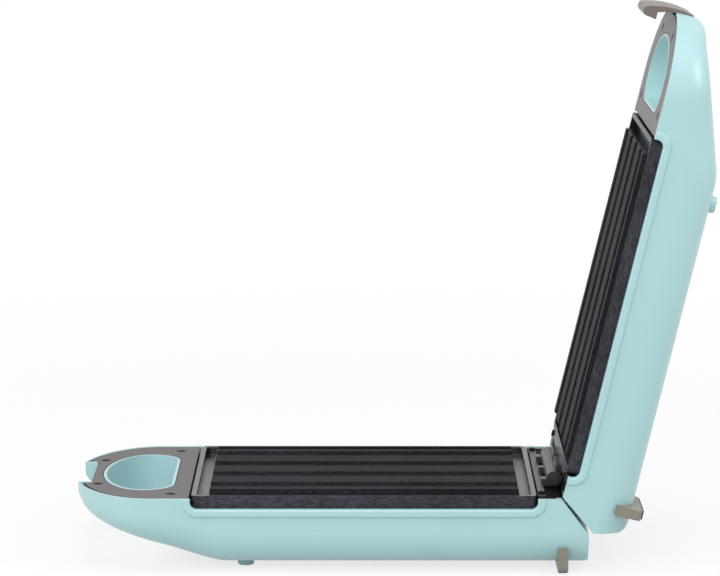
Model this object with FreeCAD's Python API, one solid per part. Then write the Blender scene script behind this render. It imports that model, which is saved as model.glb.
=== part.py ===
import FreeCAD, Part
import math
import os

from FreeCAD import Vector

os.makedirs("parts", exist_ok=True)

# Overall sizes of one half, in mm
body_half = 76.5
shell_depth = 41.0
lid_depth = 43.2
wall = 2.5
foot_height = 4.0
rear_y = 109.0
corner_y = 93.0
chamfer_drop = 21.4
edge_radius = 20.0
plate_front_y = -126.0
plate_rear_y = 79.0
nose_start_y = -105.0
nose_centre_y = -150.0
nose_length = 49.0
nose_end_y = -195.5

# Parting plane, closed gap and hinge
parting_z = foot_height + shell_depth
closed_gap = 7.0
axis_y = corner_y - 2.5
axis_z = parting_z + closed_gap / 2
open_angle = 103.5
pin_radius = 2.0
running_fit = 0.05
barrel_radius = 4.7
barrel_half = 36.0
hinge_relief = 0.9
knuckle_gap = 0.3
leaf_front_y = plate_rear_y + 0.6
leaf_rear_y = leaf_front_y + 4.2
leaf_thick = 1.5

# The origin stands under the middle of the overall length with the lid open
origin_shift = 5.78

# Clearances
fixed_gap = 0.1
screw_gap = 0.1

# Side recess for the plate and its raised lip
recess_drop = 6.0
recess_radius = 4.0
lip_width = 4.8
lip_proud = 1.5

# Finger hole and front notch
hole_half = body_half - 27.5
hole_mid_y = -155.3
hole_front = 24.8
hole_corner = 16.4
hole_wall = 1.8
notch_half = 27.0
lid_notch_half = 22.5
notch_back_y = -184.2
notch_wall = 2.2
trim_lip_y = -187.5
lid_trim_front_y = -194.4

# Handle trim and its screws
trim_thick = 2.4
trim_gap = 0.45
trim_rear_y = -127.0
trim_front_x = 0.68 * hole_half
trim_back_x = body_half - 15.5
trim_front_y = -183.3
trim_back_y = -138.0
trim_screw_places = [(trim_front_x, trim_front_y), (-trim_front_x, trim_front_y),
                     (trim_back_x, trim_back_y), (-trim_back_x, trim_back_y)]
screw_radius = 1.4
boss_radius = 3.6
frame_boss_radius = 4.0
head_clearance = 0.25
slot_half = 1.7
slot_thin = 0.35
slot_depth = 0.7
head_radius = 2.75
head_height = 1.2

# Plate
plate_half = body_half - 4.5
plate_end_gap = 0.5
rim_rise = 1.0
rim_width = 3.0
plate_bottom_z = parting_z - 7.0
plate_corner = 4.0
plate_screw_depth = 2.3
channel_z = plate_bottom_z + 3.0
end_channel = 9.4
platform_half = plate_half - 14.6
platform_rise = 2.1
lid_platform_half = plate_half - 6.0
lid_platform_rise = 3.4
platform_slope = 0.8
rib_share = 0.514
valley_share = 0.43
valley_depth = 1.6
valley_slope = 1.2
platform_flare = 2.2

# Inner frame
frame_half = body_half - wall - 0.4
frame_bottom_z = plate_bottom_z - 4.5
frame_top_z = plate_bottom_z - fixed_gap
frame_window_half = frame_half - 13.6
frame_rear_y = axis_y - 2.0
window_front_y = plate_front_y + 11.0
window_rear_y = plate_rear_y - 11.0
deck_z = parting_z - 1.0
deck_step = 3.0
rail_x = (frame_half + frame_window_half) / 2 + 0.2
frame_screw_places = [(rail_x, -108.0), (-rail_x, -108.0), (rail_x, 62.0), (-rail_x, 62.0)]
plate_screw_places = [(rail_x, -60.0), (-rail_x, -60.0), (rail_x, 20.0), (-rail_x, 20.0)]
leaf_half = frame_half - 5.6
leaf_screw_x = leaf_half - 6.0
leaf_screw_y = (leaf_front_y + leaf_rear_y) / 2
leaf_screw_places = [(leaf_screw_x, leaf_screw_y), (-leaf_screw_x, leaf_screw_y)]

# Heater and reflector
tube_radius = 3.3
tube_z = frame_bottom_z + 0.9
tube_rear_y = 58.0
tube_front_y = -72.0
end_pin_radius = 1.3
end_pin_length = 6.0
tube_bend = 0.6 * frame_window_half
sheet = 0.8
pan_bottom_z = frame_bottom_z - 8.9
pan_flange = 5.0
pan_end_flange = 6.0

# Feet
front_foot_x = body_half - 26.5
front_foot_y = -94.0
front_foot_radius = 4.6
rear_foot_width = 6.0
rear_foot_proud = 1.6
rear_foot_climb = 11.0
rear_foot_reach = 38.0
rear_foot_corner = 3.0
pad_height = 1.0

# Latch, placed from the parting plane of its half
latch_half = lid_notch_half - 0.5
latch_pivot_y = -193.0
latch_pivot_rise = 7.0
latch_pivot_z = axis_z + closed_gap / 2 + latch_pivot_rise
latch_pin_radius = 1.5
latch_hub_radius = 3.0
spring_length = 9.1
spring_radius = 2.3
spring_pitch = 1.3
spring_wire_radius = 0.4
spring_room = 14.0

# Thermostat, fuse and terminal block
thermostat_y = -30.0
thermostat_radius = 8.0
thermostat_height = 6.0
fuse_y = -5.0
fuse_radius = 2.0
fuse_half = 7.0
lead_radius = 0.5
lead_half = 16.0
terminal_x = (-30.0, -22.0, -14.0)
terminal_y = 84.0
terminal_half = 6.0
terminal_height = 11.0

# Cord gland and lamps
gland_x = -45.0
gland_z = 12.0
gland_radius = 6.0
cord_hole_radius = 3.6
lamp_y = -98.0
lamp_places = [(9.0, lamp_y), (-9.0, lamp_y)]
lamp_radius = 3.0
holder_half = 20.0
holder_half_length = 6.0

# Ends of cutting tools, clear of every solid
below = -5.0
above = parting_z + 15.0
beyond = 210.0

# Form of each half, with depths along the handle as pairs of y and depth
base_form = {
    "depths": [(nose_start_y, shell_depth), (-112, 40.1), (-121, 37.6), (-133, 33.8), (-146, 29.6),
               (-158, 25.8), (-168, 22.6), (-177, 19.6), (-184, 17.0), (-189, 14.4), (-193, 10.8),
               (nose_end_y, 7.6)],
    "notch": notch_half, "trim_front_y": trim_lip_y, "draft": 0.0, "round": 3.0, "setback": 0.0,
    "foot_y": 94.0, "foot_height": foot_height,
}
lid_form = {
    "depths": [(nose_start_y, lid_depth), (-109, 43.0), (-113, 42.3), (-118, 40.8), (-126, 38.1),
               (-146, 31.4), (-158, 27.3), (-168, 24.1), (-177, 21.3), (-184, 19.4), (-189, 18.4),
               (-193, 17.0), (-197, 15.0)],
    "notch": lid_notch_half, "trim_front_y": lid_trim_front_y, "draft": 4.0, "round": 8.0, "setback": 0.8,
    "foot_y": 92.0, "foot_height": 5.5,
}


def box(x0, x1, y0, y1, z0, z1):
    return Part.makeBox(x1 - x0, y1 - y0, z1 - z0, Vector(x0, y0, z0))


def rod(radius, start, end):
    along = end - start
    return Part.makeCylinder(radius, along.Length, start, along)


def post(radius, x, y, z0, z1):
    return rod(radius, Vector(x, y, z0), Vector(x, y, z1))


def joined(first, *others):
    return first.fuse(list(others)).removeSplitter()


def half_width(y):
    if y >= nose_centre_y:
        return body_half
    across = (y - nose_centre_y) / nose_length
    return body_half * math.sqrt(1 - across * across)


def tub_section(y, half, top, bottom, radius):
    # U section of a tub: flat top, upright sides, round lower corners
    s = radius * (1 - math.sqrt(0.5))
    a = Vector(-half, y, top)
    b = Vector(half, y, top)
    c = Vector(half, y, bottom + radius)
    d = Vector(half - radius, y, bottom)
    e = Vector(-half + radius, y, bottom)
    f = Vector(-half, y, bottom + radius)
    right = Part.Arc(c, Vector(half - s, y, bottom + s), d).toShape()
    left = Part.Arc(e, Vector(-half + s, y, bottom + s), f).toShape()
    edges = [Part.makeLine(a, b), Part.makeLine(b, c), right, Part.makeLine(d, e), left, Part.makeLine(f, a)]
    return Part.Wire(edges)


def tub(form, inset, top):
    # Solid tub of one half, drawn in by inset all round
    wires = []
    for y, depth in form["depths"]:
        half = half_width(y) - inset
        bottom = parting_z - depth + inset
        if parting_z - bottom < 2.5:
            continue
        radius = min(edge_radius - inset, 0.6 * (parting_z - bottom), 0.6 * half)
        wires.append(tub_section(y, half, top, bottom, radius))
    nose = Part.makeLoft(wires, True, False)
    floor_z = form_floor(form) + inset
    first = tub_section(nose_start_y, body_half - inset, top, floor_z, edge_radius - inset)
    main = Part.Face(first).extrude(Vector(0, rear_y - inset - nose_start_y, 0))
    return nose.fuse(main).cut([chamfer_wedge(form, inset), rear_wedge(form, inset)])


def form_floor(form):
    return parting_z - form["depths"][0][1]


def side_prism(places):
    # Prism across the whole width over an outline of y and z
    loop = [Vector(-200, y, z) for y, z in places + places[:1]]
    return Part.Face(Part.makePolygon(loop)).extrude(Vector(400, 0, 0))


def chamfer_wedge(form, inset):
    run = rear_y - corner_y
    slope = math.hypot(run, chamfer_drop)
    low_y = rear_y - (inset + form["setback"]) * slope / chamfer_drop
    low_z = parting_z - chamfer_drop
    high_y = low_y - run * (10 + chamfer_drop) / chamfer_drop
    return side_prism([(low_y + run, low_z - chamfer_drop), (high_y, parting_z + 10),
                       (rear_y + 60, parting_z + 10), (rear_y + 60, low_z - chamfer_drop)])


def rear_wedge(form, inset):
    # What the draft and the round lower edge take away from the rear wall
    radius = max(form["round"] - inset, 0.5)
    wall_top = Vector(-200, rear_y - inset, parting_z - chamfer_drop)
    corner = Vector(-200, rear_y - inset - form["draft"], form_floor(form) + inset)
    ahead = Vector(0, -1, 0)
    up = (wall_top - corner).normalize()
    half_angle = ahead.getAngle(up) / 2
    reach = radius / math.tan(half_angle)
    inward = (ahead + up).normalize()
    start = corner + ahead * reach
    end = corner + up * reach
    middle = corner + inward * (radius / math.sin(half_angle) - radius)
    far = Vector(0, 60, 0)
    under = Vector(0, 0, -10)
    places = [end, wall_top, wall_top + far, corner + far + under, start + under, start]
    edges = [Part.makeLine(p, q) for p, q in zip(places, places[1:])]
    edges.append(Part.Arc(start, middle, end).toShape())
    return Part.Face(Part.Wire(edges)).extrude(Vector(400, 0, 0))


def u_face(x, y0, y1, bottom, radius, top):
    # Upright face bounded by a U with round corners
    s = radius * (1 - math.sqrt(0.5))
    a = Vector(x, y0, top)
    b = Vector(x, y0, bottom + radius)
    c = Vector(x, y0 + radius, bottom)
    d = Vector(x, y1 - radius, bottom)
    e = Vector(x, y1, bottom + radius)
    f = Vector(x, y1, top)
    front = Part.Arc(b, Vector(x, y0 + s, bottom + s), c).toShape()
    back = Part.Arc(d, Vector(x, y1 - s, bottom + s), e).toShape()
    edges = [Part.makeLine(a, b), front, Part.makeLine(c, d), back, Part.makeLine(e, f), Part.makeLine(f, a)]
    return Part.Face(Part.Wire(edges))


def hole_prism(grow, z0, z1):
    # Finger hole: half an ellipse in front, round corners behind
    half = hole_half + grow
    front = hole_front + grow
    corner = hole_corner + grow
    back_y = hole_mid_y + corner
    flat = half - corner
    s = corner * math.sqrt(0.5)
    centre = Vector(0, hole_mid_y, z0)
    oval = Part.Ellipse(centre + Vector(half, 0, 0), centre - Vector(0, front, 0), centre)
    bow = Part.ArcOfEllipse(oval, -math.pi, 0).toShape()
    if bow.CenterOfMass.y > hole_mid_y:
        bow = Part.ArcOfEllipse(oval, 0, math.pi).toShape()
    right = Part.Arc(centre + Vector(half, 0, 0), centre + Vector(flat + s, s, 0), Vector(flat, back_y, z0))
    left = Part.Arc(Vector(-flat, back_y, z0), centre + Vector(-flat - s, s, 0), centre - Vector(half, 0, 0))
    back = Part.makeLine(Vector(flat, back_y, z0), Vector(-flat, back_y, z0))
    loop = Part.Wire(Part.__sortEdges__([bow, right.toShape(), back, left.toShape()]))
    return Part.Face(loop).extrude(Vector(0, 0, z1 - z0))


def lip(side):
    # Raised lip round the recess of one side
    bottom = parting_z - recess_drop
    start = side * (body_half - 0.5)
    outer = u_face(start, plate_front_y - lip_width, plate_rear_y + lip_width, bottom - lip_width,
                   recess_radius + lip_width, parting_z)
    inner = u_face(start, plate_front_y, plate_rear_y, bottom, recess_radius, parting_z + 1)
    band = outer.cut(inner).extrude(Vector(side * (0.5 + lip_proud), 0, 0))
    face_x = body_half + lip_proud
    edges = []
    for edge in band.Edges:
        bb = edge.BoundBox
        on_face = abs(abs(bb.XMin) - face_x) < 0.01 and abs(abs(bb.XMax) - face_x) < 0.01
        if on_face and bb.ZMin < parting_z - 0.01:
            edges.append(edge)
    return band.makeFillet(lip_proud - 0.2, edges)


def shell(form, extra_cuts):
    outer = tub(form, 0, parting_z)
    body = outer.cut(tub(form, wall, parting_z + 1))
    notch = form["notch"]
    added = [hole_prism(hole_wall, below, parting_z).common(outer)]
    added.append(box(-notch - notch_wall, notch + notch_wall, -beyond, notch_back_y + 2.0,
                     below, parting_z - trim_thick - fixed_gap).common(outer))
    for side in (-1, 1):
        x0, x1 = sorted((side * notch, side * (notch + notch_wall)))
        front_wall = box(x0, x1, -beyond, form["trim_front_y"] - trim_gap, below, parting_z)
        added.append(front_wall.common(outer))
    for x, y in trim_screw_places:
        added.append(post(boss_radius, x, y, below, parting_z - trim_thick - fixed_gap).common(outer))
    for x, y in frame_screw_places:
        added.append(post(frame_boss_radius, x, y, below, frame_bottom_z - fixed_gap).common(outer))
    floor_z = form_floor(form)
    for x in (-front_foot_x, front_foot_x):
        added.append(Part.makeCone(front_foot_radius, front_foot_radius + 1, foot_height + 0.2,
                                    Vector(x, front_foot_y, floor_z - foot_height)))
    added += [lip(1), lip(-1)]
    body = body.fuse(added)
    cuts = [hole_prism(0, below, above)]
    cuts.append(box(-notch, notch, -beyond, notch_back_y, below, above))
    recess = u_face(-beyond, plate_front_y, plate_rear_y, parting_z - recess_drop, recess_radius, above)
    cuts.append(recess.extrude(Vector(2 * beyond, 0, 0)))
    relief = barrel_half + 3.5
    cuts.append(rod(barrel_radius + hinge_relief, Vector(-relief, axis_y, axis_z),
                    Vector(relief, axis_y, axis_z)))
    step_half = frame_half - 2.0
    cuts.append(box(-step_half, step_half, frame_rear_y - 4, rear_y, deck_z - deck_step, above))
    for x, y in trim_screw_places:
        cuts.append(post(screw_radius + screw_gap, x, y, parting_z - 12, parting_z))
    for x, y in frame_screw_places:
        cuts.append(post(screw_radius + screw_gap, x, y, frame_bottom_z - 10, frame_bottom_z))
    return body.cut(cuts + extra_cuts).removeSplitter()


def handle_trim(form):
    half = body_half - wall - trim_gap
    front = nose_length - wall - trim_gap
    z = parting_z - trim_thick
    oval = Part.Ellipse(Vector(half, nose_centre_y, z), Vector(0, nose_centre_y - front, z),
                        Vector(0, nose_centre_y, z))
    bow = Part.ArcOfEllipse(oval, -math.pi, 0).toShape()
    if bow.CenterOfMass.y > nose_centre_y:
        bow = Part.ArcOfEllipse(oval, 0, math.pi).toShape()
    a = Vector(half, nose_centre_y, z)
    b = Vector(half, trim_rear_y, z)
    c = Vector(-half, trim_rear_y, z)
    d = Vector(-half, nose_centre_y, z)
    loop = [bow, Part.makeLine(a, b), Part.makeLine(b, c), Part.makeLine(c, d)]
    plate = Part.Face(Part.Wire(Part.__sortEdges__(loop))).extrude(Vector(0, 0, trim_thick))
    cuts = [hole_prism(hole_wall + trim_gap, 0, above)]
    notch = form["notch"] + notch_wall + trim_gap
    cuts.append(box(-notch, notch, -beyond, form["trim_front_y"], 0, above))
    for x, y in trim_screw_places:
        cuts.append(post(screw_radius + screw_gap, x, y, 0, above))
        cuts.append(post(head_radius + head_clearance, x, y, parting_z - head_height - 0.1, above))
    return plate.cut(cuts)


def screws(places, top_z, length, head):
    # Group of like screws with a cross slot, heads up
    made = []
    for x, y in places:
        body = joined(post(head, x, y, top_z - head_height, top_z),
                      post(screw_radius, x, y, top_z - length, top_z - head_height))
        for a, b in ((slot_half, slot_thin), (slot_thin, slot_half)):
            body = body.cut(box(x - a, x + a, y - b, y + b, top_z - slot_depth, top_z + 1))
        made.append(body)
    return Part.makeCompound(made)


def grill_plate(half, rise):
    # Plate with a rim, a channel and a ribbed platform of the given half width and rise
    y0 = plate_front_y + plate_end_gap
    y1 = plate_rear_y - plate_end_gap
    rim_z = parting_z + rim_rise
    top_z = parting_z + rise
    body = box(-plate_half, plate_half, y0, y1, plate_bottom_z, rim_z)
    body = body.makeFillet(plate_corner, [e for e in body.Edges if e.BoundBox.ZLength > 1])
    inner_half = plate_half - rim_width
    pocket = box(-inner_half, inner_half, y0 + rim_width, y1 - rim_width, channel_z, above)
    pocket = pocket.makeFillet(plate_corner - 1, [e for e in pocket.Edges if e.BoundBox.ZLength > 1])
    body = body.cut(pocket)
    p0 = y0 + end_channel
    p1 = y1 - end_channel
    low_places = rect(half + platform_flare, p0, p1)
    top_places = rect(half, p0 + platform_slope, p1 - platform_slope)
    low_wire = Part.makePolygon([Vector(x, y, channel_z - 0.5) for x, y in low_places])
    top_wire = Part.makePolygon([Vector(x, y, top_z) for x, y in top_places])
    body = body.fuse(Part.makeLoft([low_wire, top_wire], True, True))
    cuts = []
    rib_pitch = rib_share * half
    top = valley_share * rib_pitch / 2
    low = top - valley_slope
    z = top_z - valley_depth
    for k in (-1.5, -0.5, 0.5, 1.5):
        x = k * rib_pitch
        pts = [Vector(x - low, p0, z), Vector(x + low, p0, z), Vector(x + top, p0, top_z),
               Vector(x + top, p0, top_z + 1), Vector(x - top, p0, top_z + 1), Vector(x - top, p0, top_z)]
        cuts.append(Part.Face(Part.makePolygon(pts + pts[:1])).extrude(Vector(0, p1 - p0, 0)))
    for x, y in plate_screw_places:
        cuts.append(post(screw_radius + screw_gap, x, y, 0, plate_bottom_z + plate_screw_depth))
    return body.cut(cuts).removeSplitter()


def rect(half, y0, y1):
    return [(-half, y0), (half, y0), (half, y1), (-half, y1), (-half, y0)]


def inner_frame():
    ring = box(-frame_half, frame_half, plate_front_y - 0.4, frame_rear_y, frame_bottom_z, frame_top_z)
    deck = box(-frame_half, frame_half, plate_rear_y + 0.3, frame_rear_y, frame_bottom_z, deck_z)
    ledge_half = frame_half - 2.3
    ledge = box(-ledge_half, ledge_half, frame_rear_y - 1, rear_y, deck_z - deck_step + fixed_gap, deck_z)
    ledge = ledge.common(tub(lid_form, 0, parting_z))
    body = joined(ring, deck, ledge)
    relief = barrel_half + 3.5
    cuts = [box(-frame_window_half, frame_window_half, window_front_y, window_rear_y, 0, frame_top_z + 0.1)]
    cuts.append(rod(barrel_radius + hinge_relief + 0.3, Vector(-relief, axis_y, axis_z),
                    Vector(relief, axis_y, axis_z)))
    for x, y in frame_screw_places:
        cuts.append(post(screw_radius + screw_gap, x, y, 0, above))
        cuts.append(post(head_radius + head_clearance, x, y, frame_top_z - head_height - 0.2, above))
    for x, y in plate_screw_places:
        cuts.append(post(screw_radius + screw_gap, x, y, 0, above))
    for x, y in leaf_screw_places:
        cuts.append(post(screw_radius + screw_gap, x, y, deck_z - 7, above))
    return body.cut(cuts)


def hinge_leaf(spans):
    # Strip on the deck with its share of the barrel
    low = deck_z + 0.05
    strip = box(-leaf_half, leaf_half, leaf_front_y, leaf_rear_y, low, low + leaf_thick)
    pieces = []
    for x0, x1 in spans:
        pieces.append(rod(barrel_radius, Vector(x0, axis_y, axis_z), Vector(x1, axis_y, axis_z)))
        pieces.append(box(x0, x1, leaf_rear_y - 1, axis_y, low, axis_z))
    body = joined(strip, *pieces)
    cuts = [rod(pin_radius + running_fit, Vector(-beyond, axis_y, axis_z), Vector(beyond, axis_y, axis_z))]
    for x, y in leaf_screw_places:
        cuts.append(post(screw_radius + screw_gap, x, y, 0, above))
    return body.cut(cuts)


def reflector():
    y0 = window_front_y - 4.0
    y1 = window_rear_y + 4.0
    half = frame_window_half + 3.0
    top = frame_bottom_z - fixed_gap
    flange = box(-half, half, y0, y1, top - sheet, top)
    pan_half = half - pan_flange
    front = y0 + pan_end_flange
    back = y1 - pan_end_flange
    inside = box(-pan_half, pan_half, front, back, pan_bottom_z + sheet, top + 1)
    outside = box(-pan_half - sheet, pan_half + sheet, front - sheet, back + sheet, pan_bottom_z, top)
    return flange.fuse(outside).cut(inside).removeSplitter()


def heater():
    # Bent tube with thinner end pins
    a = Vector(-tube_bend, tube_rear_y, tube_z)
    b = Vector(-tube_bend, tube_front_y, tube_z)
    c = Vector(0, tube_front_y - tube_bend, tube_z)
    d = Vector(tube_bend, tube_front_y, tube_z)
    e = Vector(tube_bend, tube_rear_y, tube_z)
    path = Part.Wire([Part.makeLine(a, b), Part.Arc(b, c, d).toShape(), Part.makeLine(d, e)])
    ring = Part.Wire(Part.makeCircle(tube_radius, a, Vector(0, 1, 0)))
    tube = path.makePipeShell([ring], True, True)
    pins = [rod(end_pin_radius, p, p + Vector(0, end_pin_length, 0)) for p in (a, e)]
    return joined(tube, *pins)


def rear_feet(form):
    # Corner brackets fitted to the round lower edge, one each side
    y0 = form["foot_y"] - rear_foot_width / 2
    floor_z = form_floor(form)
    low = floor_z - form["foot_height"] + pad_height
    top = floor_z + rear_foot_climb
    outer = tub_section(y0, body_half + rear_foot_proud, top + 20, low, rear_foot_corner)
    inner = tub_section(y0, body_half + 0.05, top + 21, floor_z - 0.05, edge_radius + 0.05)
    run = Vector(0, rear_foot_width, 0)
    ring = Part.Face(outer).extrude(run).cut(Part.Face(inner).extrude(run))
    near = box(rear_foot_reach, beyond, -beyond, beyond, below - 5, top)
    far = box(-beyond, -rear_foot_reach, -beyond, beyond, below - 5, top)
    return Part.makeCompound([ring.common(near), ring.common(far)])


def foot_pads(form):
    y0 = form["foot_y"] - rear_foot_width / 2 + 0.4
    y1 = form["foot_y"] + rear_foot_width / 2 - 0.4
    low = form_floor(form) - form["foot_height"]
    made = []
    for side in (-1, 1):
        x0, x1 = sorted((side * (rear_foot_reach + 1), side * (body_half - 3)))
        made.append(box(x0, x1, y0, y1, low, low + pad_height - 0.02))
    return Part.makeCompound(made)


def thermostat():
    z1 = pan_bottom_z - fixed_gap
    z0 = z1 - thermostat_height
    neck = post(thermostat_radius - 2, 0, thermostat_y, z0 - 3, z0)
    body = joined(post(thermostat_radius, 0, thermostat_y, z0, z1), neck)
    tabs = [box(x - 0.4, x + 0.4, thermostat_y - 3, thermostat_y + 3, z0 - 8, z0 - 3) for x in (-3.5, 3.5)]
    return joined(body, *tabs)


def thermal_fuse():
    z = pan_bottom_z - 3.0
    body = rod(fuse_radius, Vector(-fuse_half, fuse_y, z), Vector(fuse_half, fuse_y, z))
    return joined(body, rod(lead_radius, Vector(-lead_half, fuse_y, z), Vector(lead_half, fuse_y, z)))


def terminal_block():
    z0 = foot_height + wall + fixed_gap
    y0 = terminal_y - terminal_half
    y1 = terminal_y + terminal_half
    body = box(terminal_x[0] - 4, terminal_x[-1] + 4, y0, y1, z0, z0 + terminal_height)
    for x in terminal_x:
        body = body.cut(post(1.6, x, terminal_y, z0 + 4, above))
        body = body.cut(rod(1.4, Vector(x, y0 - 5, z0 + 5), Vector(x, y1 + 5, z0 + 5)))
    return body


def cord_gland():
    # Bush with a flange on each side of the rear wall
    start = Vector(gland_x, rear_y - wall - 3, gland_z)
    body = rod(gland_radius - fixed_gap, start, Vector(gland_x, rear_y + 4, gland_z))
    out = rod(gland_radius + 1.2, Vector(gland_x, rear_y + 0.05, gland_z),
              Vector(gland_x, rear_y + 2, gland_z))
    bore = rod(cord_hole_radius, Vector(gland_x, 0, gland_z), Vector(gland_x, beyond, gland_z))
    return joined(body, out).cut(bore)


def latch():
    # Curved plate with a claw, in the pose of a closed lid, drawn from its pivot
    def at(y, rise):
        return Vector(-latch_half, latch_pivot_y + y, latch_pivot_z - latch_pivot_rise + rise)

    outer = Part.Arc(at(-4.3, 10.2), at(-5.75, 0.5), at(-3.3, -18.3)).toShape()
    nib = Part.Arc(at(-3.3, -18.3), at(-0.8, -19.2), at(1.8, -18.0)).toShape()
    inner = Part.Arc(at(-1.3, -10.8), at(-3.35, -0.5), at(-1.9, 10.2)).toShape()
    edges = [outer, nib, Part.makeLine(at(1.8, -18.0), at(2.8, -11.8)),
             Part.makeLine(at(2.8, -11.8), at(2.8, -10.8)),
             Part.makeLine(at(2.8, -10.8), at(-1.3, -10.8)),
             inner, Part.makeLine(at(-1.9, 10.2), at(-4.3, 10.2))]
    body = Part.Face(Part.Wire(edges)).extrude(Vector(2 * latch_half, 0, 0))
    body = joined(body, pivot_rod(latch_hub_radius, latch_half))
    room = box(-spring_room / 2, spring_room / 2, latch_pivot_y - latch_hub_radius, latch_pivot_y + 13,
               latch_pivot_z - 4.5, latch_pivot_z + 4.5)
    return body.cut([pivot_rod(latch_pin_radius + running_fit, latch_half + 18), room])


def pivot_rod(radius, half):
    start = Vector(-half, latch_pivot_y, latch_pivot_z)
    return rod(radius, start, Vector(half, latch_pivot_y, latch_pivot_z))


def latch_pin():
    return pivot_rod(latch_pin_radius, lid_notch_half + notch_wall - 0.1)


def latch_spring():
    # Coil round the pin between the hubs
    coil = Part.makeHelix(spring_pitch, spring_length, spring_radius)
    ring = Part.Wire(Part.makeCircle(spring_wire_radius, Vector(spring_radius, 0, 0), Vector(0, 1, 0)))
    wire = Part.Wire(coil.Edges).makePipeShell([ring], True, True)
    wire.rotate(Vector(0, 0, 0), Vector(0, 1, 0), 90)
    wire.translate(Vector(-spring_length / 2, latch_pivot_y, latch_pivot_z))
    return wire


def lamp_lens(place):
    x, y = place
    z = parting_z - lid_depth
    collar = post(lamp_radius + 1.2, x, y, z + wall + 0.1, z + wall + 1.1)
    return joined(post(lamp_radius, x, y, z - 0.6, z + 5), collar)


def lamp_holder():
    floor_z = parting_z - lid_depth + wall
    z = floor_z + 1.2
    y0 = lamp_y - holder_half_length
    y1 = lamp_y + holder_half_length
    body = box(-holder_half, holder_half, y0, y1, z + 0.1, z + 9)
    for x, y in lamp_places:
        body = body.cut(post(lamp_radius + 0.2, x, y, below, z + 6))
    leg_x = holder_half - 2
    legs = [box(x - 2, x + 2, y0, y1, floor_z + 0.05, z + 1) for x in (-leg_x, leg_x)]
    return joined(body, *legs)


def to_lid(shape):
    # Mirror a half about the closed middle plane, then swing it open
    return swing(shape.mirror(Vector(0, 0, axis_z), Vector(0, 0, 1)))


def swing(shape):
    turned = shape.copy()
    turned.rotate(Vector(0, axis_y, axis_z), Vector(1, 0, 0), -open_angle)
    return turned


end_inner = barrel_half - 8.0
base_spans = [(-barrel_half, -end_inner), (-3.0, 3.0), (end_inner, barrel_half)]
lid_spans = [(-end_inner + knuckle_gap, -3.0 - knuckle_gap), (3.0 + knuckle_gap, end_inner - knuckle_gap)]

gland_hole = rod(gland_radius, Vector(gland_x, rear_y - 19, gland_z), Vector(gland_x, rear_y + 19, gland_z))
lamp_holes = [post(lamp_radius + 0.1, x, y, below, 12) for x, y in lamp_places]
pivot_depth = parting_z - latch_pivot_rise
pin_holes = [rod(latch_pin_radius + 0.02, Vector(s * (lid_notch_half - 1), latch_pivot_y, pivot_depth),
                 Vector(s * (lid_notch_half + notch_wall + 1), latch_pivot_y, pivot_depth)) for s in (-1, 1)]

nodes = {}
nodes["base_shell"] = shell(base_form, [gland_hole])
nodes["lid_shell"] = to_lid(shell(lid_form, lamp_holes + pin_holes))
nodes["base_handle_trim"] = handle_trim(base_form)
nodes["lid_handle_trim"] = to_lid(handle_trim(lid_form))
halves = {
    "trim_screws": screws(trim_screw_places, parting_z - 0.05, 11, head_radius),
    "inner_frame": inner_frame(),
    "frame_screws": screws(frame_screw_places, frame_top_z - 0.15, 11, head_radius),
    "heat_reflector": reflector(),
    "heating_element": heater(),
    "thermostat": thermostat(),
    "hinge_screws": screws(leaf_screw_places, deck_z + leaf_thick + 1.3, 8, 2.0),
}
low_head = frame_bottom_z - fixed_gap - head_height
plate_screws = screws(plate_screw_places, -low_head, 8.0, 2.6)
halves["plate_screws"] = plate_screws.mirror(Vector(0, 0, 0), Vector(0, 0, 1))
for name, shape in halves.items():
    nodes["base_" + name] = shape
    nodes["lid_" + name] = to_lid(shape)
nodes["base_grill_plate"] = grill_plate(platform_half, platform_rise)
nodes["lid_grill_plate"] = to_lid(grill_plate(lid_platform_half, lid_platform_rise))
for half, form, place in (("base_", base_form, Part.Shape.copy), ("lid_", lid_form, to_lid)):
    nodes[half + "rear_feet"] = place(rear_feet(form))
    nodes[half + "foot_pads"] = place(foot_pads(form))
nodes["base_hinge_leaf"] = hinge_leaf(base_spans)
nodes["lid_hinge_leaf"] = to_lid(hinge_leaf(lid_spans))
head = barrel_half + 0.4
nodes["hinge_pin"] = joined(
    rod(pin_radius, Vector(-head, axis_y, axis_z), Vector(head, axis_y, axis_z)),
    rod(3.0, Vector(head, axis_y, axis_z), Vector(head + 1.4, axis_y, axis_z)),
    rod(3.0, Vector(-head - 1.4, axis_y, axis_z), Vector(-head, axis_y, axis_z)))
nodes["thermal_fuse"] = thermal_fuse()
nodes["terminal_block"] = terminal_block()
nodes["cord_gland"] = cord_gland()
nodes["latch"] = swing(latch())
nodes["latch_pin"] = swing(latch_pin())
nodes["latch_spring"] = swing(latch_spring())
nodes["power_lamp_lens"] = to_lid(lamp_lens(lamp_places[0]))
nodes["ready_lamp_lens"] = to_lid(lamp_lens(lamp_places[1]))
nodes["lamp_holder"] = to_lid(lamp_holder())

for name, shape in nodes.items():
    shape.translate(Vector(0, origin_shift, 0))
    shape.exportStep("parts/" + name + ".step")
    print(name, shape.isValid(), len(shape.Solids), round(shape.Volume))
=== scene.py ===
import math

import bpy
import mathutils
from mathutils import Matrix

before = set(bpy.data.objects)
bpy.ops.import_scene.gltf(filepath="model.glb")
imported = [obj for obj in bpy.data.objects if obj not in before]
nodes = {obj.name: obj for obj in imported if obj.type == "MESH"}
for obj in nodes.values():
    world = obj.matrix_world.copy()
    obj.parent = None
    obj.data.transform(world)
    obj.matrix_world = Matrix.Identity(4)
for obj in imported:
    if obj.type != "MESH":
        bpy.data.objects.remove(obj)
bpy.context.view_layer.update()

# Camera of the photograph: place in metres, downward pitch and turn in degrees, lens and sensor in mm
CAMERA_PLACE = (2.067, -0.0162, 0.496)
CAMERA_PITCH = 9.27
CAMERA_TURN = 90.11
CAMERA_LENS = 173.2
SENSOR_WIDTH = 36.0

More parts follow.
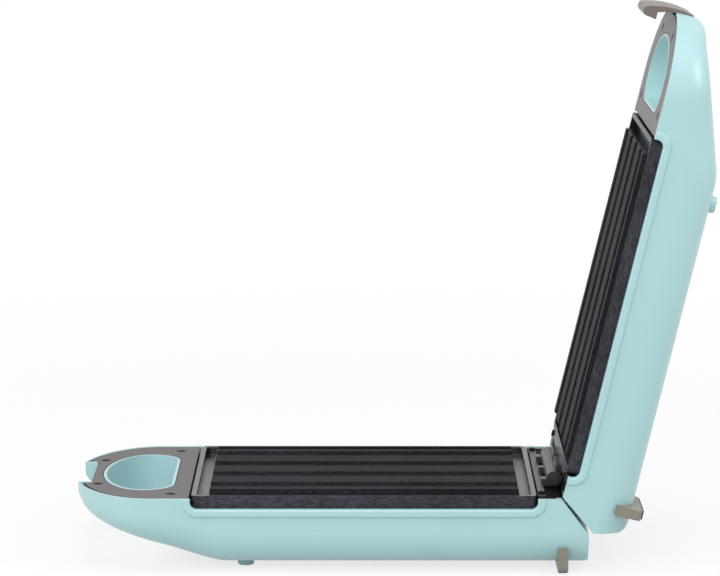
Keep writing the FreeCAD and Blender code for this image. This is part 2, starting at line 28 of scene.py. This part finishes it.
# Hinge axis and plate ends in metres, lid angle of the photograph in degrees
HINGE_AXIS = (0.0, 0.09628, 0.0485)
OPEN_ANGLE = 103.5
PLATE_FRONT = -0.11972
PLATE_REAR = 0.08428
PLATE_HALF = 0.0705

# Finish of the plates: share of the length in each end channel, its roughness, painted highlight on the
# sides, speckle
CHANNEL_SHARE = 0.049
CHANNEL_ROUGH = 0.24
SIDE_HIGHLIGHT = 2.8
SPECKLE_FROM = (0.35, 0.65)
SPECKLE_TO = (0.62, 1.35)

# Drift of colour over each surface, and the coat of glossy plastic
DRIFT_SCALE = 14.0
DRIFT_FROM = (0.3, 0.7)
COAT_ROUGH = 0.3
SMOOTHEST = 0.03

# Floor and world: levels that light the object, levels that are seen, distances in metres
FLOOR_SIZE = 40.0
FLOOR_LIGHT = 0.62
FLOOR_SEEN = 0.92
FLOOR_WHITE = 0.75
FLOOR_FADE = (0.3, 1.1)
WORLD_LIGHT = 0.5
WHITE = 1.0

# Lamps: name, place, target and size in metres, watts
LAMPS = (
    ("top", (0.3, -0.1, 1.8), (0.0, 0.0, 0.1), (2.0, 2.0), 12.0),
    ("side", (1.9, -0.5, 1.1), (0.0, 0.05, 0.12), (1.4, 1.2), 17.0),
    ("right", (0.3, 1.5, 1.2), (0.0, 0.0, 0.1), (0.6, 0.8), 9.0),
    ("front", (0.4, -1.6, 0.7), (0.0, 0.1, 0.2), (1.0, 0.8), 5.0),
)

# Linear base colours
TEAL = (0.415, 0.655, 0.68)
GREY = (0.092, 0.086, 0.087)
CHARCOAL = (0.019, 0.019, 0.0235)
BLACK = (0.003, 0.003, 0.0035)
TAUPE = (0.255, 0.240, 0.195)
LATCH = (0.195, 0.168, 0.148)
HINGE_GREY = (0.060, 0.059, 0.061)
# Screw colour: partly dark steel, partly painted shade of the deep screw recesses
DARK_STEEL_AND_RECESS_SHADE = (0.008, 0.008, 0.009)
BRIGHT_STEEL = (0.55, 0.55, 0.56)
HOT_STEEL = (0.16, 0.13, 0.115)
SHEET = (0.72, 0.72, 0.73)
CERAMIC = (0.62, 0.57, 0.48)
INSULATOR = (0.78, 0.77, 0.73)
RUBBER = (0.018, 0.018, 0.018)
RED = (0.45, 0.012, 0.010)
GREEN = (0.02, 0.33, 0.06)


def shade(colour, factor):
    return tuple(min(1.0, c * factor) for c in colour) + (1.0,)


def maths(tree, operation, first, second=None, clamp=False):
    # Math node of one or two sockets
    node = tree.nodes.new("ShaderNodeMath")
    node.operation = operation
    node.use_clamp = clamp
    tree.links.new(first, node.inputs[0])
    if second is not None:
        tree.links.new(second, node.inputs[1])
    return node.outputs["Value"]


def ranged(tree, value, start, end, kind="LINEAR"):
    # Map Range node between two pairs of levels
    node = tree.nodes.new("ShaderNodeMapRange")
    node.interpolation_type = kind
    node.inputs["From Min"].default_value = start[0]
    node.inputs["From Max"].default_value = start[1]
    node.inputs["To Min"].default_value = end[0]
    node.inputs["To Max"].default_value = end[1]
    tree.links.new(value, node.inputs["Value"])
    return node.outputs["Result"]


def noise(tree, place, scale, detail):
    node = tree.nodes.new("ShaderNodeTexNoise")
    node.inputs["Scale"].default_value = scale
    node.inputs["Detail"].default_value = detail
    tree.links.new(place, node.inputs["Vector"])
    return node.outputs["Fac"]


def surface(name, colour, rough, metal=0.0, grain=900.0, tint=0.05, bump=0.04, depth=0.0002,
            stretch=(1.0, 1.0, 1.0), coat=0.0, spread=0.06, shine=0.5, edge=0.0005):
    # Shader with a broad colour drift, a fine grain in roughness and a fine bump
    mat = bpy.data.materials.new(name)
    mat.use_nodes = True
    tree = mat.node_tree
    shader = tree.nodes["Principled BSDF"]
    shader.inputs["Metallic"].default_value = metal
    shader.inputs["Specular IOR Level"].default_value = shine
    shader.inputs["Coat Weight"].default_value = coat
    shader.inputs["Coat Roughness"].default_value = COAT_ROUGH
    place = tree.nodes.new("ShaderNodeTexCoord").outputs["Object"]
    scaled = tree.nodes.new("ShaderNodeMapping")
    scaled.inputs["Scale"].default_value = stretch
    tree.links.new(place, scaled.inputs["Vector"])
    broad = noise(tree, place, DRIFT_SCALE, 3.0)
    fine = noise(tree, scaled.outputs["Vector"], grain, 4.0)
    drift = tree.nodes.new("ShaderNodeValToRGB")
    for element, position, factor in zip(drift.color_ramp.elements, DRIFT_FROM, (1 - tint, 1 + tint)):
        element.position = position
        element.color = shade(colour, factor)
    tree.links.new(broad, drift.inputs["Fac"])
    tree.links.new(drift.outputs["Color"], shader.inputs["Base Color"])
    polish = (max(SMOOTHEST, rough - spread), min(1.0, rough + spread))
    tree.links.new(ranged(tree, fine, (0.0, 1.0), polish), shader.inputs["Roughness"])
    relief = tree.nodes.new("ShaderNodeBump")
    relief.inputs["Strength"].default_value = bump
    relief.inputs["Distance"].default_value = depth
    tree.links.new(fine, relief.inputs["Height"])
    eased = tree.nodes.new("ShaderNodeBevel")
    eased.inputs["Radius"].default_value = edge
    tree.links.new(eased.outputs["Normal"], relief.inputs["Normal"])
    tree.links.new(relief.outputs["Normal"], shader.inputs["Normal"])
    return mat


def plate_places(tree, turn):
    # Masks of a plate by place: 1 in its end channels, and 1 inside its sides
    place = tree.nodes.new("ShaderNodeTexCoord").outputs["Object"]
    unswing = tree.nodes.new("ShaderNodeMapping")
    axis = mathutils.Vector(HINGE_AXIS)
    back = mathutils.Matrix.Rotation(turn, 3, "X")
    unswing.inputs["Rotation"].default_value = (turn, 0.0, 0.0)
    unswing.inputs["Location"].default_value = axis - back @ axis
    tree.links.new(place, unswing.inputs["Vector"])
    parts = tree.nodes.new("ShaderNodeSeparateXYZ")
    tree.links.new(unswing.outputs["Vector"], parts.inputs["Vector"])
    along = ranged(tree, parts.outputs["Y"], (PLATE_FRONT, PLATE_REAR), (0.0, 1.0))
    ends = tree.nodes.new("ShaderNodeValToRGB")
    ends.color_ramp.interpolation = "CONSTANT"
    ends.color_ramp.elements[0].color = (1.0, 1.0, 1.0, 1.0)
    ends.color_ramp.elements[1].position = CHANNEL_SHARE
    ends.color_ramp.elements[1].color = (0.0, 0.0, 0.0, 1.0)
    ends.color_ramp.elements.new(1.0 - CHANNEL_SHARE).color = (1.0, 1.0, 1.0, 1.0)
    tree.links.new(along, ends.inputs["Fac"])
    inside = tree.nodes.new("ShaderNodeMath")
    inside.operation = "LESS_THAN"
    inside.inputs[1].default_value = PLATE_HALF
    tree.links.new(maths(tree, "ABSOLUTE", parts.outputs["X"]), inside.inputs[0])
    channel = maths(tree, "MULTIPLY", ends.outputs["Color"], inside.outputs["Value"])
    return channel, inside.outputs["Value"]


def plate_finish(mat, turn, end_shine):
    # Smoother channels at both ends of a plate, a painted highlight on its sides and a speckle in its
    # coating
    tree = mat.node_tree
    shader = tree.nodes["Principled BSDF"]
    polish = shader.inputs["Roughness"].links[0].from_node
    grain = polish.inputs["Value"].links[0].from_socket
    colour = shader.inputs["Base Color"].links[0].from_socket
    channel, inside = plate_places(tree, turn)
    rough = tree.nodes.new("ShaderNodeMix")
    rough.inputs["B"].default_value = CHANNEL_ROUGH
    tree.links.new(channel, rough.inputs["Factor"])
    tree.links.new(polish.outputs["Result"], rough.inputs["A"])
    tree.links.new(rough.outputs["Result"], shader.inputs["Roughness"])
    plain_shine = shader.inputs["Specular IOR Level"].default_value
    shine = ranged(tree, channel, (0.0, 1.0), (plain_shine, end_shine))
    tree.links.new(shine, shader.inputs["Specular IOR Level"])
    # The side wall and the outer edge of the rim are painted brighter: a painted highlight where they face
    # the light
    level = ranged(tree, inside, (0.0, 1.0), (SIDE_HIGHLIGHT, 1.0))
    speckle = ranged(tree, grain, SPECKLE_FROM, SPECKLE_TO)
    highlight_and_speckle = tree.nodes.new("ShaderNodeVectorMath")
    highlight_and_speckle.operation = "SCALE"
    tree.links.new(colour, highlight_and_speckle.inputs["Vector"])
    tree.links.new(maths(tree, "MULTIPLY", level, speckle), highlight_and_speckle.inputs["Scale"])
    tree.links.new(highlight_and_speckle.outputs["Vector"], shader.inputs["Base Color"])
    return mat


def dress(mat, *names):
    for name in names:
        obj = nodes[name]
        obj.data.materials.clear()
        obj.data.materials.append(mat)


def both(name):
    return ["base_" + name, "lid_" + name]


def dress_plates():
    # Each plate has its own grain along its length and its own shine in the channels
    plates = (
        ("base_grill_plate", 0.0, (1.0, 0.25, 1.0), 0.7),
        ("lid_grill_plate", math.radians(OPEN_ANGLE), (1.0, 1.0, 0.25), 0.06),
    )
    for plate, turn, stretch, end_shine in plates:
        coating = surface(plate + "_coating", CHARCOAL, 0.50, grain=1200, tint=0.25, bump=0.6, depth=0.0004,
                          stretch=stretch, shine=0.02, edge=0.0008)
        dress(plate_finish(coating, turn, end_shine), plate)


def dress_pieces():
    dress(surface("teal_moulded", TEAL, 0.34, grain=1400, tint=0.02, bump=0.03, coat=0.15), *both("shell"))
    dress(surface("grey_satin", GREY, 0.32, grain=1600, tint=0.04, bump=0.06, shine=0.10),
          *both("handle_trim"))
    dress_plates()
    dress(surface("black_frame", BLACK, 0.55, grain=1500, tint=0.15, bump=0.08, shine=0.03),
          *both("inner_frame"))
    dress(surface("taupe_satin", TAUPE, 0.40, grain=1500, tint=0.03, bump=0.05, shine=0.25),
          *both("rear_feet"))
    dress(surface("latch_satin", LATCH, 0.40, grain=1500, tint=0.03, bump=0.05, shine=0.25), "latch")
    dress(surface("hinge_satin", HINGE_GREY, 0.34, metal=0.3, grain=900, tint=0.06, bump=0.05,
                  stretch=(0.1, 1.0, 1.0), shine=0.15), "hinge_pin", *both("hinge_leaf"))
    screw_names = both("trim_screws") + both("frame_screws") + both("plate_screws") + both("hinge_screws")
    # Screw heads lie flush with the trim; their near-black colour is partly dark steel, partly painted shade
    # of the deep screw recesses
    dress(surface("dark_screw_and_recess_shade", DARK_STEEL_AND_RECESS_SHADE, 0.45, grain=2600, tint=0.12, bump=0.06, shine=0.1), *screw_names)
    dress(surface("reflector_sheet", SHEET, 0.26, metal=1.0, grain=700, tint=0.05, stretch=(1.0, 0.05, 1.0)),
          *both("heat_reflector"))
    dress(surface("heater_tube", HOT_STEEL, 0.45, metal=0.9, grain=500, tint=0.25), *both("heating_element"))
    dress(surface("ceramic_body", CERAMIC, 0.5, grain=1200, tint=0.05), "thermal_fuse", *both("thermostat"))
    dress(surface("insulator", INSULATOR, 0.45, grain=1200, tint=0.03), "terminal_block", "lamp_holder")
    dress(surface("bright_steel", BRIGHT_STEEL, 0.25, metal=1.0, grain=1500, tint=0.06),
          "latch_pin", "latch_spring")
    dress(surface("rubber_pad", RUBBER, 0.75, grain=1700, tint=0.2, bump=0.15),
          "cord_gland", *both("foot_pads"))
    dress(surface("red_lens", RED, 0.12, grain=300, tint=0.08, coat=0.5, spread=0.03), "power_lamp_lens")
    dress(surface("green_lens", GREEN, 0.12, grain=300, tint=0.08, coat=0.5, spread=0.03), "ready_lamp_lens")


def seen_rays(tree):
    # 1 for rays that show the backdrop: camera, glossy and transmission rays
    path = tree.nodes.new("ShaderNodeLightPath")
    mirrored = maths(tree, "ADD", path.outputs["Is Glossy Ray"], path.outputs["Is Transmission Ray"])
    return maths(tree, "ADD", path.outputs["Is Camera Ray"], mirrored, clamp=True)


def floor():
    # Pale floor that keeps the shadow near the object and is seen white farther off
    bpy.ops.mesh.primitive_plane_add(size=FLOOR_SIZE, location=(0.0, 0.0, 0.0))
    plane = bpy.context.object
    plane.name = "floor"
    mat = bpy.data.materials.new("pale_floor")
    mat.use_nodes = True
    tree = mat.node_tree
    tree.nodes.remove(tree.nodes["Principled BSDF"])
    seen = seen_rays(tree)
    matte = tree.nodes.new("ShaderNodeBsdfDiffuse")
    tree.links.new(ranged(tree, seen, (0.0, 1.0), (FLOOR_LIGHT, FLOOR_SEEN)), matte.inputs["Color"])
    glow = tree.nodes.new("ShaderNodeEmission")
    glow.inputs["Strength"].default_value = WHITE
    away = tree.nodes.new("ShaderNodeVectorMath")
    away.operation = "LENGTH"
    tree.links.new(tree.nodes.new("ShaderNodeTexCoord").outputs["Object"], away.inputs[0])
    level = ranged(tree, away.outputs["Value"], FLOOR_FADE, (FLOOR_WHITE, WHITE), "SMOOTHSTEP")
    mix = tree.nodes.new("ShaderNodeMixShader")
    tree.links.new(maths(tree, "MULTIPLY", seen, level), mix.inputs["Fac"])
    tree.links.new(matte.outputs["BSDF"], mix.inputs[1])
    tree.links.new(glow.outputs["Emission"], mix.inputs[2])
    tree.links.new(mix.outputs["Shader"], tree.nodes["Material Output"].inputs["Surface"])
    plane.data.materials.append(mat)


def lamp(name, place, target, size, watts):
    light = bpy.data.lights.new(name, "AREA")
    light.shape = "RECTANGLE"
    light.size, light.size_y = size
    light.energy = watts
    obj = bpy.data.objects.new(name, light)
    bpy.context.scene.collection.objects.link(obj)
    obj.location = place
    aim = mathutils.Vector(target) - mathutils.Vector(place)
    obj.rotation_euler = aim.to_track_quat("-Z", "Y").to_euler()


def studio():
    # White world for the rays that show it, dimmer as a light
    world = bpy.data.worlds.new("studio")
    world.use_nodes = True
    tree = world.node_tree
    back = tree.nodes["Background"]
    back.inputs["Color"].default_value = (1.0, 1.0, 1.0, 1.0)
    level = ranged(tree, seen_rays(tree), (0.0, 1.0), (WORLD_LIGHT, WHITE))
    tree.links.new(level, back.inputs["Strength"])
    bpy.context.scene.world = world
    for row in LAMPS:
        lamp(*row)


def photo_camera():
    data = bpy.data.cameras.new("photo_camera")
    data.sensor_width = SENSOR_WIDTH
    data.lens = CAMERA_LENS
    data.clip_end = 100.0
    obj = bpy.data.objects.new("photo_camera", data)
    bpy.context.scene.collection.objects.link(obj)
    obj.location = CAMERA_PLACE
    obj.rotation_euler = (math.radians(90 - CAMERA_PITCH), 0.0, math.radians(CAMERA_TURN))
    bpy.context.scene.camera = obj


dress_pieces()
floor()
studio()
photo_camera()
bpy.context.scene.view_settings.view_transform = "Standard"
